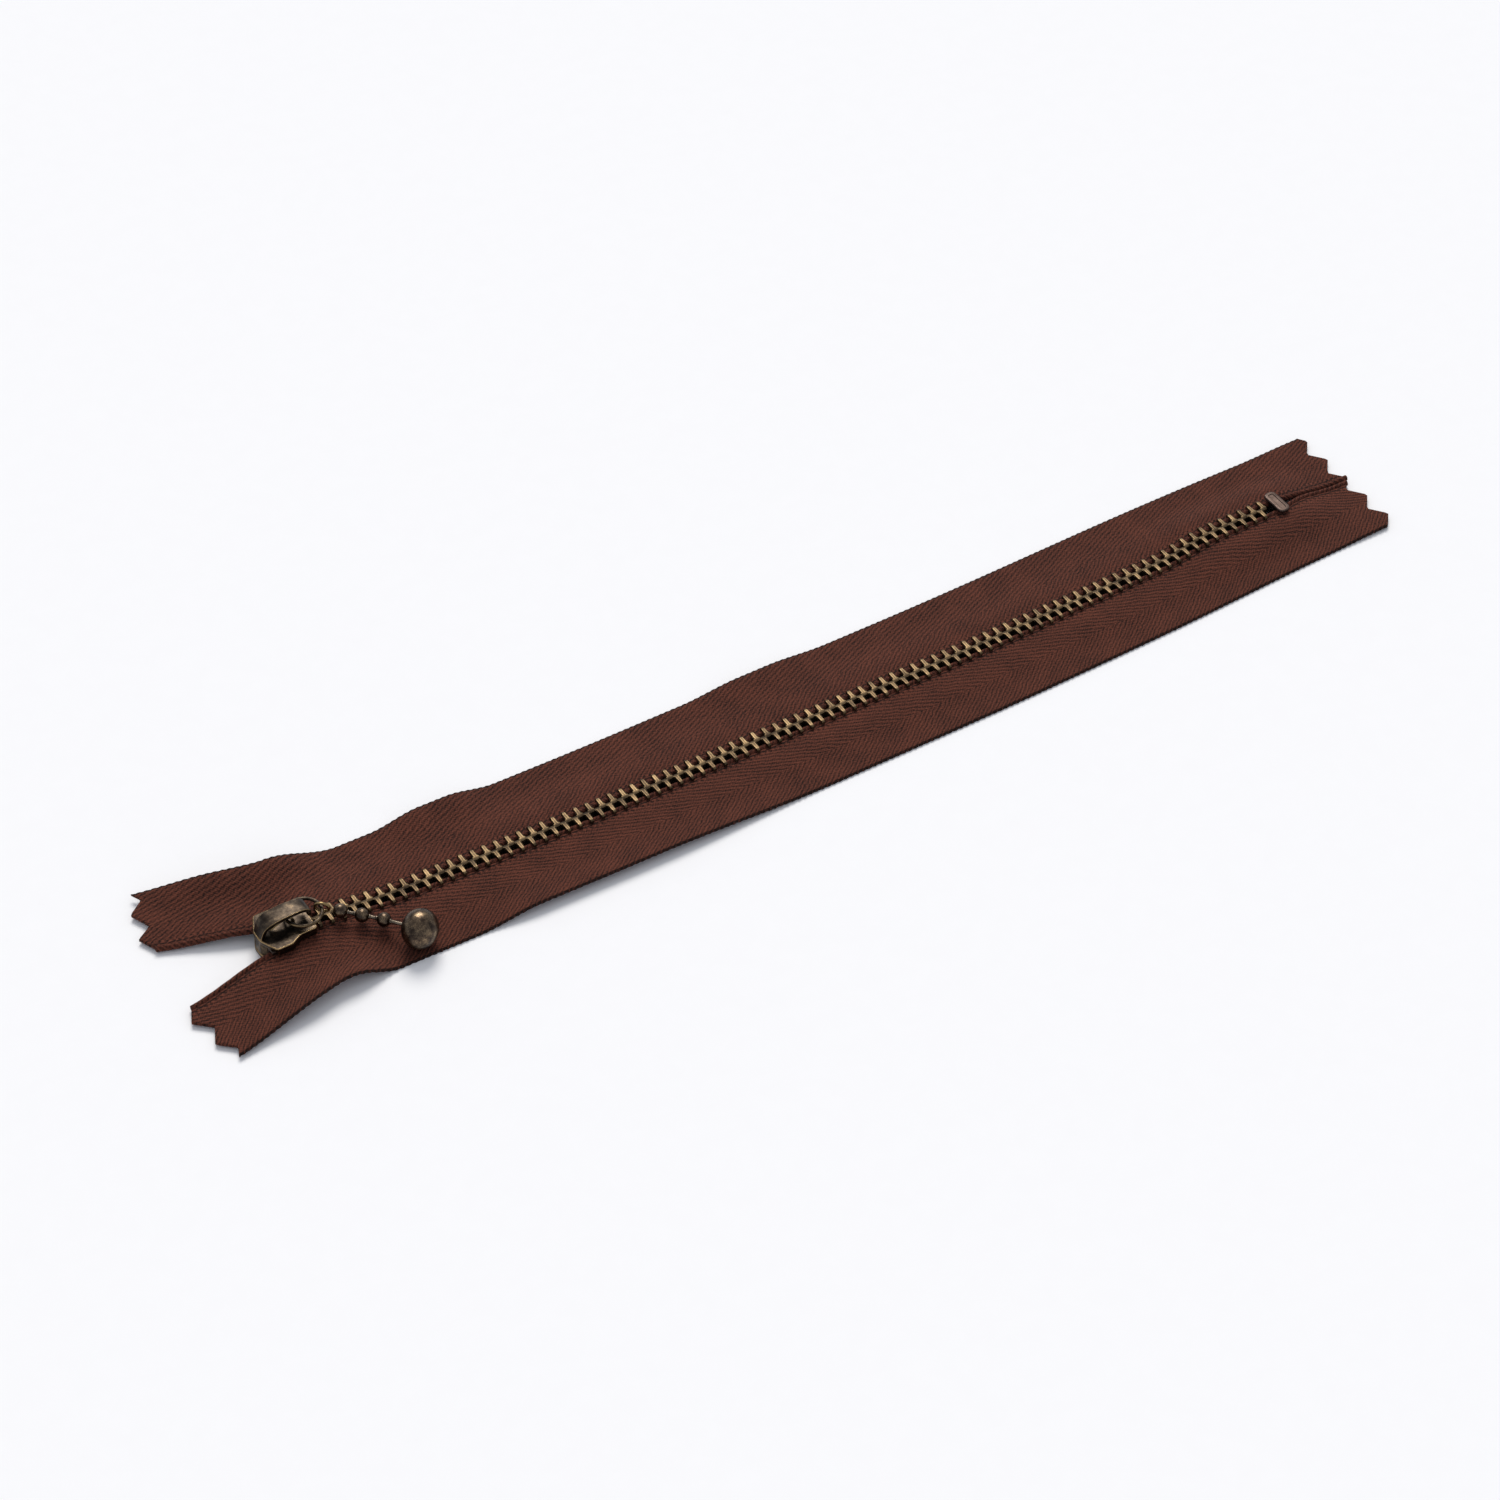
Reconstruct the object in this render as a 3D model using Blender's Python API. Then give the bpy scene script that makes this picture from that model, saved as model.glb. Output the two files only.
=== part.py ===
"""Closed-end metal zipper with a locking slider and a ball-chain pull, laid flat and zipped shut.

The chain frame has +X along the zipper from the slider to the bottom stop, +Y towards the far
tape and z = 0 on the table. All sizes below are millimetres; finish() turns them into metres.
The chain frame's corner is then shifted, so that the world origin is under the middle of the whole.
"""

import math

import bmesh
import bpy
from mathutils import Matrix, Vector

MM = 0.001
FRAME_SHIFT = (-101.2, -2.35, 0.0)  # the chain frame's place in the world

# Chain
PITCH = 2.13  # from one tooth to the next on one tape
FIRST_TOOTH_X = 198.25  # the far tape's last tooth, beside the bottom stop
TEETH = 92  # on each tape
MID_Z = 2.05  # height of the chain's middle plane
TOOTH_LENGTH = 0.75  # along the zipper
TOOTH_HALF_HEIGHT = 1.0
TOOTH_INNER = -0.3  # how far a head reaches past the centre line
TOOTH_OUTER = 2.15
CORD_INNER = 1.0
CORD_OUTER = 1.9
CORD_HALF_HEIGHT = 0.6
CORD_CLEARANCE = 0.05  # under the splayed ends, over the table
SPLIT_LOW, SPLIT_HIGH = 196.5, 196.8  # where each opening tape ends and its fixed end begins

# Tape
TAPE_THICK = 0.5
TAPE_INNER = 2.45
TAPE_OUTER = 14.6
FLAT_TO = 4.9  # level with the chain up to here, then sloping down
TABLE_FROM = 10.2  # lying on the table from here outwards
TABLE_MID_Z = 0.25
PINK_PITCH = 6.0
PINK_DEPTH = 2.4
TAIL_X = 217.8  # tips of the pinked end behind the bottom stop
FAR_TAIL_TIP, NEAR_TAIL_TIP = 1.1, 4.9  # how far across its first tip is on each tape, from one straight cut
FAR_FIRST_TIP, FAR_CORNER_X = 3.3, -13.9  # the same at the splayed ends, with the inner corner's place
NEAR_FIRST_TIP, NEAR_CORNER_X = 2.9, -14.0
BED_X = 30.0  # flat on the table from here on; nearer the slider the outer band rises a little
EDGE_LIFT = 0.3

# How the tapes part inside the slider and splay in front of it
PART_FROM = 7.2
MOUTH_X = 1.2
MOUTH_OFFSET = 1.4
FAR_SPLAY, NEAR_SPLAY = 0.40, 0.17
FAR_TIP_X, NEAR_TIP_X = -15.2, -16.3
DROP_FROM, DROP_TO = -1.5, -13.0  # where the splayed ends come down to the table
LEAST_HEIGHT_SHARE = 0.1

# Slider
WING_FRONT, SHOULDER_FRONT, SHOULDER_BACK, THROAT, WING_BACK = -0.6, 0.95, 3.7, 5.7, 8.7
NOSE_HALF, SHOULDER_HALF, THROAT_HALF = 1.1, 4.4, 3.25
FLANGE = 0.55
WING_THICK = 0.8
SLIDER_TOP = 4.1
SLOT_HALF = 0.5
NECK_NOSE_X, NECK_WIDE_X, NECK_END_X = -0.4, 1.0, 3.4
NECK_NOSE_HALF, NECK_HALF = 0.55, 0.85
CROWN_HALF_WIDTH = 1.5
CROWN_THICK = 0.65
CROWN_PATH = ((0.1, 4.4), (0.45, 5.5), (1.6, 6.5), (4.4, 6.75), (7.0, 6.2), (7.75, 5.5), (7.75, 4.4))
SPRING_HALF_WIDTH = 0.6
SPRING_THICK = 0.22
SPRING_PATH = ((1.7, 4.65), (3.6, 5.6), (5.9, 5.6), (5.9, 3.15))
WINDOW = ((5.5, -0.9, 3.0), (6.3, 0.9, 4.5))

# Stops
TOP_STOP_LENGTH = 1.8
TOP_STOP_INNER, TOP_STOP_OUTER = 0.45, 2.3  # across the zipper, its back and its open edge
TOP_STOP_BACK, TOP_STOP_WALL = 0.3, 0.15
BOTTOM_STOP_X = (199.95, 202.25)
BOTTOM_STOP_HALF = 2.7
BOTTOM_STOP_PLATE = 0.5
BOTTOM_STOP_GAP = 0.25  # between a cord and the plates over and under it
BOTTOM_STOP_WEB = 0.7

# Pull
RING_CENTRE = (7.8, 0.0, 5.05)
RING_RADIUS = 3.05
RING_WIRE = 0.33
EYE_AT = (10.81, -0.48, 5.05)  # where the eye hangs on the ring
BEADS = ((13.6, -2.1, 4.45), (16.15, -4.15, 3.75), (18.75, -6.45, 3.3))
BEAD_RADIUS = 1.15
BALL = (22.3, -11.95, 4.0)
BALL_RADIUS, BALL_HALF_LENGTH = 3.2, 2.85
LINK_RADIUS = 0.3
LINK_GAP = 0.1
EYE_WIRE = 0.22
WIRE_CORNERS = 8
EYE_LONG, EYE_TALL, EYE_AHEAD = 1.17, 0.82, 0.5

FAR, NEAR = 1, -1
SPLAY = {FAR: FAR_SPLAY, NEAR: NEAR_SPLAY}


def clear_scene():
    """Remove whatever the scene holds."""
    for old in list(bpy.data.objects):
        bpy.data.objects.remove(old, do_unlink=True)


def material(name, colour, roughness, metallic):
    """A Principled material."""
    made = bpy.data.materials.new(name)
    made.use_nodes = True
    shader = made.node_tree.nodes["Principled BSDF"]
    shader.inputs["Base Color"].default_value = (*colour, 1.0)
    shader.inputs["Roughness"].default_value = roughness
    shader.inputs["Metallic"].default_value = metallic
    return made


def frame_empty():
    """The empty that every piece hangs on, at the chain frame's corner."""
    empty = bpy.data.objects.new("chain_frame", None)
    empty.location = Vector(FRAME_SHIFT) * MM
    bpy.context.scene.collection.objects.link(empty)
    return empty


def finish(bm, name, look, pivot=(0.0, 0.0, 0.0), smooth=False):
    """Turn a millimetre bmesh in the chain frame into an object whose origin is at pivot."""
    bmesh.ops.translate(bm, vec=-Vector(pivot), verts=bm.verts)
    bmesh.ops.scale(bm, vec=(MM, MM, MM), verts=bm.verts)
    bmesh.ops.recalc_face_normals(bm, faces=bm.faces)
    mesh = bpy.data.meshes.new(name)
    bm.to_mesh(mesh)
    bm.free()
    if smooth:
        mesh.shade_smooth()
        mesh.set_sharp_from_angle(angle=math.radians(40))
    mesh.materials.append(look)
    piece = bpy.data.objects.new(name, mesh)
    piece.location = Vector(pivot) * MM
    piece.parent = FRAME
    bpy.context.scene.collection.objects.link(piece)
    return piece


def boolean(piece, bm, name, operation):
    """Join a helper solid to a piece, or cut it away."""
    helper = finish(bm, name, piece.data.materials[0])
    helper.hide_render = True
    helper.display_type = "WIRE"
    step = piece.modifiers.new(name, "BOOLEAN")
    step.operation = operation
    step.solver = "EXACT"
    step.object = helper


def prism(points, axis, low, high, bm=None):
    """A flat outline pushed from low to high along Z (points are x, y), Y (x, z) or X (y, z)."""
    bm = bm or bmesh.new()
    place = {
        "Z": lambda p, q, r: (p, q, r),
        "Y": lambda p, q, r: (p, r, q),
        "X": lambda p, q, r: (r, p, q),
    }[axis]
    face = bm.faces.new([bm.verts.new(place(p, q, low)) for p, q in points])
    grown = bmesh.ops.extrude_face_region(bm, geom=[face])["geom"]
    moved = [g for g in grown if isinstance(g, bmesh.types.BMVert)]
    bmesh.ops.translate(bm, vec=place(0.0, 0.0, high - low), verts=moved)
    return bm


def box(low, high, bm=None):
    """A box between two corners."""
    outline = [(low[0], low[1]), (high[0], low[1]), (high[0], high[1]), (low[0], high[1])]
    return prism(outline, "Z", low[2], high[2], bm)


def strip(path, thickness):
    """The outline of a bent strip: its path moved half a thickness to each side, with mitred bends."""
    points = [Vector(p) for p in path]
    sides = ([], [])
    for i, point in enumerate(points):
        before = (point - points[i - 1]).normalized() if i else None
        after = (points[i + 1] - point).normalized() if i + 1 < len(points) else None
        along = ((before or after) + (after or before)).normalized()
        across = Vector((-along.y, along.x))
        reach = thickness / 2 / max(0.5, along.dot(after or before))
        sides[0].append(tuple(point + across * reach))
        sides[1].append(tuple(point - across * reach))
    return sides[0] + sides[1][::-1]


def parting(x, side):
    """How far a tape is pushed out from the centre line at x."""
    if x >= PART_FROM:
        return 0.0
    if x >= MOUTH_X:
        return MOUTH_OFFSET * (PART_FROM - x) / (PART_FROM - MOUTH_X)
    return MOUTH_OFFSET + SPLAY[side] * (MOUTH_X - x)


def height_share(x):
    """How much of its height over the table a tape keeps at x: all, or little at the splayed end."""
    gone = min(max((DROP_FROM - x) / (DROP_FROM - DROP_TO), 0.0), 1.0)
    return 1.0 - gone * (1.0 - LEAST_HEIGHT_SHARE)


def tape_height(x, across):
    """The tape's middle height: level by the chain, low in the outer band, which rises near the slider."""
    fall = min(max((across - FLAT_TO) / (TABLE_FROM - FLAT_TO), 0.0), 1.0)
    rise = EDGE_LIFT * min(max((BED_X - x) / (BED_X - PART_FROM), 0.0), 1.0)
    return MID_Z + (TABLE_MID_Z + rise - MID_Z) * fall


def pinked_end(tip_x, outwards, first_tip, corner):
    """The zigzag of a pinked end, from the inner edge to the outer one; outwards is +1 or -1."""
    notch_x = tip_x - outwards * PINK_DEPTH
    half = PINK_PITCH / 2
    points = []
    across, x = first_tip, tip_x
    while across < TAPE_OUTER:
        if across > TAPE_INNER:
            points.append((x, across))
        across += half
        x = notch_x if x == tip_x else tip_x
    return [(corner, TAPE_INNER), *points, (corner, TAPE_OUTER)]


def sheet(outline, cuts_x, cuts_across, thickness):
    """A flat outline cut along lines where it will bend, then given its thickness about z = 0."""
    bm = bmesh.new()
    bm.faces.new([bm.verts.new((x, across, -thickness / 2)) for x, across in outline])
    bmesh.ops.triangulate(bm, faces=bm.faces)
    lines = [((x, 0, 0), (1, 0, 0)) for x in cuts_x]
    lines += [((0, across, 0), (0, 1, 0)) for across in cuts_across]
    for place, normal in lines:
        everything = [*bm.verts, *bm.edges, *bm.faces]
        bmesh.ops.bisect_plane(bm, geom=everything, plane_co=place, plane_no=normal)
    grown = bmesh.ops.extrude_face_region(bm, geom=bm.faces[:])["geom"]
    upper = [g for g in grown if isinstance(g, bmesh.types.BMVert)]
    bmesh.ops.translate(bm, vec=(0, 0, thickness), verts=upper)
    return bm


def tape(name, side, left, right, cuts_x, pivot):
    """A tape: a flat sheet, then draped and splayed."""
    bm = sheet(left + right[::-1], cuts_x, (FLAT_TO, TABLE_FROM), TAPE_THICK)
    for vert in bm.verts:
        x, across, level = vert.co
        middle = TABLE_MID_Z + (tape_height(x, across) - TABLE_MID_Z) * height_share(x)
        vert.co = (x, side * (across + parting(x, side)), middle + level)
    return finish(bm, name, FABRIC, pivot)


def edge_cord(side, x_from, x_to):
    """The bar along a tape's edge, following the parting of its tape."""
    outline = [(x_from, CORD_INNER), (x_to, CORD_INNER), (x_to, CORD_OUTER), (x_from, CORD_OUTER)]
    bm = sheet(outline, (DROP_TO, DROP_FROM, MOUTH_X, PART_FROM), (), 2 * CORD_HALF_HEIGHT)
    table = CORD_HALF_HEIGHT + CORD_CLEARANCE
    for vert in bm.verts:
        x, across, level = vert.co
        middle = table + (MID_Z - table) * height_share(x)
        vert.co = (x, side * (across + parting(x, side)), middle + level)
    return bm


def teeth(side, numbers):
    """The teeth of one tape, as boxes round its cord."""
    bm = bmesh.new()
    offset = 0.0 if side == FAR else PITCH / 2
    for number in numbers:
        x = FIRST_TOOTH_X - offset - PITCH * number
        push = parting(x, side)
        ends = sorted((side * (TOOTH_INNER + push), side * (TOOTH_OUTER + push)))
        low = (x - TOOTH_LENGTH / 2, ends[0], MID_Z - TOOTH_HALF_HEIGHT)
        high = (x + TOOTH_LENGTH / 2, ends[1], MID_Z + TOOTH_HALF_HEIGHT)
        box(low, high, bm)
    return bm


def tooth_row(name, side, x_from, x_to, numbers, pivot):
    """A tape's cord with its teeth clamped round it."""
    row = finish(edge_cord(side, x_from, x_to), name, TOOTH_BRASS, pivot)
    boolean(row, teeth(side, numbers), name + "_teeth", "UNION")


def top_stop(name, side, number, pivot):
    """A staple round the cord in place of the tooth of that number, open towards its tape."""
    x = FIRST_TOOTH_X - (0.0 if side == FAR else PITCH / 2) - PITCH * number
    push = parting(x, side)
    low, high = MID_Z - TOOTH_HALF_HEIGHT, MID_Z + TOOTH_HALF_HEIGHT
    wall, web = TOP_STOP_WALL, TOP_STOP_INNER + TOP_STOP_BACK
    outline = [
        (TOP_STOP_INNER, low),
        (TOP_STOP_OUTER, low),
        (TOP_STOP_OUTER, low + wall),
        (web, low + wall),
        (web, high - wall),
        (TOP_STOP_OUTER, high - wall),
        (TOP_STOP_OUTER, high),
        (TOP_STOP_INNER, high),
    ]
    outline = [(side * (across + push), z) for across, z in outline]
    half = TOP_STOP_LENGTH / 2
    finish(prism(outline, "X", x - half, x + half), name, STOP_BRASS, pivot)


def bottom_stop():
    """A clamp over both cords: two plates joined by a web between the cords."""
    inner = CORD_HALF_HEIGHT + BOTTOM_STOP_GAP
    outer = inner + BOTTOM_STOP_PLATE
    half, web = BOTTOM_STOP_HALF, BOTTOM_STOP_WEB
    outline = [
        (-half, -outer),
        (half, -outer),
        (half, -inner),
        (web, -inner),
        (web, inner),
        (half, inner),
        (half, outer),
        (-half, outer),
        (-half, inner),
        (-web, inner),
        (-web, -inner),
        (-half, -inner),
    ]
    outline = [(y, z + MID_Z) for y, z in outline]
    finish(prism(outline, "X", *BOTTOM_STOP_X), "bottom_stop", STOP_BRASS)


def mirrored(half_outline):
    """A half outline on the far side, followed back along the near side."""
    return half_outline + [(x, -y) for x, y in reversed(half_outline)]


def slider_body():
    """The two wings and the neck between them, hollowed by the Y-shaped channel."""
    outline = mirrored(
        [
            (WING_FRONT, NOSE_HALF),
            (SHOULDER_FRONT, SHOULDER_HALF),
            (SHOULDER_BACK, SHOULDER_HALF),
            (THROAT, THROAT_HALF),
            (WING_BACK, THROAT_HALF),
        ]
    )
    body = finish(prism(outline, "Z", 0.0, SLIDER_TOP), "slider_body", ANTIQUE_BRASS)
    ahead, behind = WING_FRONT - 2.0, WING_BACK + 2.0
    outer = SHOULDER_HALF - FLANGE
    channel = [(ahead, outer), (SHOULDER_BACK, outer), (THROAT, THROAT_HALF - FLANGE)]
    channel += [(behind, THROAT_HALF - FLANGE)]
    neck = [(ahead, NECK_NOSE_HALF), (NECK_NOSE_X, NECK_NOSE_HALF), (NECK_WIDE_X, NECK_HALF)]
    hollow = mirrored(channel) + [(x, -y) for x, y in neck] + [(NECK_END_X, 0.0)] + neck[::-1]
    floor, roof = WING_THICK, SLIDER_TOP - WING_THICK
    boolean(body, prism(hollow, "Z", floor, roof), "slider_channel", "DIFFERENCE")
    slots = bmesh.new()
    for side in (FAR, NEAR):
        ends = sorted((side * (THROAT_HALF - 2 * FLANGE), side * (SHOULDER_HALF + 2.0)))
        low = (ahead, ends[0], MID_Z - SLOT_HALF)
        box(low, (behind, ends[1], MID_Z + SLOT_HALF), slots)
    boolean(body, slots, "tape_slots", "DIFFERENCE")
    boolean(body, box(*WINDOW), "lock_window", "DIFFERENCE")


def slider_crown():
    """The bent strip over the top wing that holds the ring and covers the lock."""
    bm = prism(strip(CROWN_PATH, CROWN_THICK), "Y", -CROWN_HALF_WIDTH, CROWN_HALF_WIDTH)
    finish(bm, "slider_crown", ANTIQUE_BRASS)


def lock_spring():
    """The leaf under the crown, whose end reaches down through the window to the teeth."""
    bm = prism(strip(SPRING_PATH, SPRING_THICK), "Y", -SPRING_HALF_WIDTH, SPRING_HALF_WIDTH)
    finish(bm, "lock_spring", SPRING_BRASS)


def wire_loop(name, look, centre, along, upright, long, tall, wire, steps, pivot):
    """A closed oval of round wire in the plane of two directions."""
    bm = bmesh.new()
    normal = along.cross(upright)
    rings = []
    for step in range(steps):
        turn = 2 * math.pi * step / steps
        middle = along * (long * math.cos(turn)) + upright * (tall * math.sin(turn))
        outwards = (along * (tall * math.cos(turn)) + upright * (long * math.sin(turn))).normalized()
        corners = [2 * math.pi * corner / WIRE_CORNERS for corner in range(WIRE_CORNERS)]
        places = [middle + outwards * (wire * math.cos(c)) + normal * (wire * math.sin(c)) for c in corners]
        rings.append([bm.verts.new(Vector(centre) + place) for place in places])
    for ring, following in zip(rings, rings[1:] + rings[:1]):
        for corner in range(WIRE_CORNERS):
            after = (corner + 1) % WIRE_CORNERS
            bm.faces.new((ring[corner], ring[after], following[after], following[corner]))
    finish(bm, name, look, pivot, smooth=True)


def bead(name, centre, along, radius, half_length):
    """A round bead, flattened to half_length along the chain."""
    bm = bmesh.new()
    bmesh.ops.create_uvsphere(bm, u_segments=14, v_segments=9, radius=radius)
    bmesh.ops.scale(bm, vec=(1.0, 1.0, half_length / radius), verts=bm.verts)
    turn = Vector((0, 0, 1)).rotation_difference(along).to_matrix()
    bmesh.ops.rotate(bm, matrix=turn, verts=bm.verts)
    bmesh.ops.translate(bm, vec=centre, verts=bm.verts)
    finish(bm, name, BALL_BRASS, centre, smooth=True)


def link(name, start, end, start_radius, end_radius):
    """The bare shank between two beads, clear of both."""
    along = (end - start).normalized()
    first = start + along * (start_radius + LINK_GAP)
    last = end - along * (end_radius + LINK_GAP)
    bm = bmesh.new()
    turn = Vector((0, 0, 1)).rotation_difference(along).to_matrix().to_4x4()
    place = Matrix.Translation((first + last) / 2) @ turn
    bmesh.ops.create_cone(
        bm,
        cap_ends=True,
        segments=10,
        radius1=LINK_RADIUS,
        radius2=LINK_RADIUS,
        depth=(last - first).length,
        matrix=place,
    )
    finish(bm, name, SPRING_BRASS, start, smooth=True)


def pull():
    """The ring, the eye on it, the three beads and the ball."""
    upright = Vector((0, 0, 1))
    hinge = (RING_CENTRE[0] - RING_RADIUS, RING_CENTRE[1], RING_CENTRE[2])
    across = Vector((0, 1, 0))
    ring = (Vector((1, 0, 0)), across, RING_RADIUS, RING_RADIUS, RING_WIRE)
    wire_loop("pull_ring", ANTIQUE_BRASS, RING_CENTRE, *ring, 32, hinge)
    spots = [Vector(place) for place in BEADS]
    start, ball = Vector(EYE_AT), Vector(BALL)
    along = (spots[0] - start).normalized()
    upright = (upright - along * upright.dot(along)).normalized()
    centre = start + along * EYE_AHEAD
    wire_loop("connector_eye", SPRING_BRASS, centre, along, upright, EYE_LONG, EYE_TALL, EYE_WIRE, 20, start)
    for number, spot in enumerate(spots, start=1):
        bead(f"bead_{number}", spot, Vector((0, 0, 1)), BEAD_RADIUS, BEAD_RADIUS)
    for number in (2, 3):
        link(f"link_{number}", spots[number - 2], spots[number - 1], BEAD_RADIUS, BEAD_RADIUS)
    link("ball_link", spots[2], ball, BEAD_RADIUS, BALL_HALF_LENGTH)
    bead("pull_ball", ball, (ball - spots[2]).normalized(), BALL_RADIUS, BALL_HALF_LENGTH)


def stringers():
    """Both tapes with their cords, teeth and top stops, each in an opening part and a fixed end."""
    middle = (CORD_INNER + CORD_OUTER) / 2
    split_x = (SPLIT_LOW + SPLIT_HIGH) / 2
    tips = {
        FAR: (FAR_TIP_X, "far", FAR_FIRST_TIP, FAR_CORNER_X, FAR_TAIL_TIP),
        NEAR: (NEAR_TIP_X, "near", NEAR_FIRST_TIP, NEAR_CORNER_X, NEAR_TAIL_TIP),
    }
    for side, (tip_x, word, first_tip, corner_x, tail_tip) in tips.items():
        pivot = (split_x, side * middle, MID_Z)
        square = [(SPLIT_LOW, TAPE_INNER), (SPLIT_LOW, TAPE_OUTER)]
        left = pinked_end(tip_x, -1, first_tip, corner_x)
        cuts = (DROP_TO, DROP_FROM, MOUTH_X, PART_FROM, BED_X)
        tape(f"{word}_tape", side, left, square, cuts, pivot)
        square = [(SPLIT_HIGH, TAPE_INNER), (SPLIT_HIGH, TAPE_OUTER)]
        right = pinked_end(TAIL_X, 1, tail_tip, TAIL_X - PINK_DEPTH)
        tape(f"{word}_tape_end", side, square, right, (), (0.0, 0.0, 0.0))
        numbers = range(1, TEETH)
        tooth_row(f"{word}_teeth", side, corner_x, SPLIT_LOW, numbers, pivot)
        end_x = TAIL_X - PINK_DEPTH
        tooth_row(f"{word}_cord_end", side, SPLIT_HIGH, end_x, range(1), (0.0, 0.0, 0.0))
        top_stop(f"{word}_top_stop", side, TEETH, pivot)


clear_scene()
FRAME = frame_empty()
FABRIC = material("brown_tape", (0.072, 0.026, 0.022), 0.9, 0.0)
TOOTH_BRASS = material("tooth_brass", (0.30, 0.22, 0.12), 0.45, 1.0)
STOP_BRASS = material("stop_brass", (0.34, 0.27, 0.18), 0.5, 1.0)
ANTIQUE_BRASS = material("antique_brass", (0.16, 0.13, 0.09), 0.4, 1.0)
BALL_BRASS = material("ball_brass", (0.19, 0.15, 0.11), 0.38, 1.0)
SPRING_BRASS = material("spring_brass", (0.42, 0.33, 0.16), 0.35, 1.0)
stringers()
bottom_stop()
slider_body()
slider_crown()
lock_spring()
pull()
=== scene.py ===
"""Looks for a closed-end metal zipper on woven tape, shut, with a ring pull and a ball chain.

Sizes are millimetres in the zipper's own axes: +X along it from the slider to the bottom stop, +Y
towards the far tape and z = 0 on the table. ZipperAxes turns them into the fixed frame's metres.
"""

import logging
import math
from dataclasses import dataclass
from enum import Enum
from typing import Callable, Sequence

import bmesh
import bpy
from bmesh.types import BMEdge, BMesh, BMFace, BMVert
from bpy.types import Material, Node, NodeSocket, NodeTree, Object
from mathutils import Matrix, Vector

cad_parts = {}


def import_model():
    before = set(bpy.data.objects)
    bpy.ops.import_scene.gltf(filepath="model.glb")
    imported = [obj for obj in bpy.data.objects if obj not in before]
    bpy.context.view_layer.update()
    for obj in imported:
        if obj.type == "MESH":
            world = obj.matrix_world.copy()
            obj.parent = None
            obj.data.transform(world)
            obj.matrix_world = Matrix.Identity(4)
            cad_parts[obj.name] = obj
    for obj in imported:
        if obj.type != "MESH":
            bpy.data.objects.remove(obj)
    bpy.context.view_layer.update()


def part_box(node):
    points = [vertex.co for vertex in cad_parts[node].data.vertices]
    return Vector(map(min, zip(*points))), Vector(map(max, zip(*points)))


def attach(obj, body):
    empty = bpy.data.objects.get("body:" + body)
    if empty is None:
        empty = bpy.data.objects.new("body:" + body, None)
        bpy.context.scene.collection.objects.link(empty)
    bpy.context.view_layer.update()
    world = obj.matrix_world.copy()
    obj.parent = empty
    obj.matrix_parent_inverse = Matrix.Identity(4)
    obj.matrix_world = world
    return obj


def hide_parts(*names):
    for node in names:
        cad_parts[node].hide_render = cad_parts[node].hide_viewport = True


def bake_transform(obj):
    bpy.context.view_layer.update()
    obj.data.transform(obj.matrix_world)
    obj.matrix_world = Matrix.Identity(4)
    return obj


Pair = tuple[float, float]
Point = tuple[float, float, float]
Outline = Sequence[Pair]

LOG = logging.getLogger("zipper")
MM = 0.001
SHARP_DEG = 38.0  # edges that turn by more than this stay crisp
SAME_PLACE_MM = 1e-4

WEAR = "wear"  # how far a corner has been rubbed to bare metal
TONE = "tone"  # a small difference from one tooth to the next
CLOTH_UV = "cloth"  # millimetres along and across a tape, as it was woven


class Side(Enum):
    """One of the two tapes, with the sign of its Y."""

    FAR = 1
    NEAR = -1

    @property
    def word(self) -> str:
        """The word that its pieces' names begin with."""
        return self.name.lower()


def smooth(low: float, high: float, value: float) -> float:
    """Rise smoothly from 0 at low to 1 at high.

    Args:
        low: Where the rise starts.
        high: Where it ends; it may be below low, for a fall.
        value: Where it is read.

    Returns:
        A number from 0 to 1.
    """
    share = min(max((value - low) / (high - low), 0.0), 1.0)
    return share * share * (3.0 - 2.0 * share)


def ramp(low: float, high: float, value: float) -> float:
    """Rise in a straight line from 0 at low to 1 at high."""
    return min(max((value - low) / (high - low), 0.0), 1.0)


def linear(colour: str) -> tuple[float, float, float, float]:
    """Turn an sRGB hex colour into linear red, green, blue and full alpha."""
    parts = [int(colour[i : i + 2], 16) / 255 for i in (1, 3, 5)]
    turned = [c / 12.92 if c <= 0.04045 else ((c + 0.055) / 1.055) ** 2.4 for c in parts]
    return (turned[0], turned[1], turned[2], 1.0)


def add(tree: NodeTree, kind: str, inputs: dict | None = None, **settings) -> Node:
    """Add a shader node.

    Args:
        tree: The node tree that it goes in.
        kind: Its type, such as "ShaderNodeMath".
        inputs: For each socket, by name or number, a value or the output that is linked to it.
        **settings: The node's own properties.

    Returns:
        The new node.
    """
    node = tree.nodes.new(kind)
    for name, value in settings.items():
        setattr(node, name, value)
    for socket, value in (inputs or {}).items():
        if isinstance(value, NodeSocket):
            tree.links.new(value, node.inputs[socket])
        else:
            node.inputs[socket].default_value = value
    return node


def maths(tree: NodeTree, operation: str, *values: object) -> NodeSocket:
    """The result of a Math node on one, two or three values or outputs."""
    return add(tree, "ShaderNodeMath", dict(enumerate(values)), operation=operation).outputs[0]


def noise(
    tree: NodeTree, place: object, scale: float, detail: float = 2.0, roughness: float = 0.5
) -> Node:
    """A Noise Texture node, read at this place."""
    inputs = {"Vector": place, "Scale": scale, "Detail": detail, "Roughness": roughness}
    return add(tree, "ShaderNodeTexNoise", inputs)


def rise(
    tree: NodeTree, value: object, low: float, high: float, top: float = 1.0
) -> NodeSocket:
    """A rise from 0 at low to top at high, and no further."""
    inputs = {"Value": value, "From Min": low, "From Max": high, "To Max": top}
    return add(tree, "ShaderNodeMapRange", inputs).outputs[0]


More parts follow.
